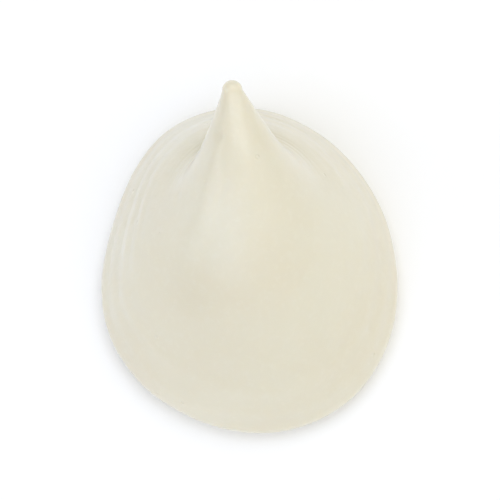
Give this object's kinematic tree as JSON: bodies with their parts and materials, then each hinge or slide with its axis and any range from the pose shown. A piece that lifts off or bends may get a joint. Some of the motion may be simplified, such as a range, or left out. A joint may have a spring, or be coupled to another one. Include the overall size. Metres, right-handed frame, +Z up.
{
  "type": "yogurt chip",
  "caption": "Drop-shaped yogurt chip with a flat round base, a full lower body and a peak that leans far over to one side and ends in a small soft tip.",
  "frame": {"origin": "middle of the flat base that the drop rests on", "axes": "+Z up out of the flat base, +Y the way the soft tip points, within 7 degrees"},
  "size_m": [0.0099, 0.0111, 0.007],
  "materials": {
    "yogurt_coating": "satin, faintly waxy"
  },
  "bodies": {
    "root": {"chip": "yogurt_coating"}
  },
  "joints": []
}
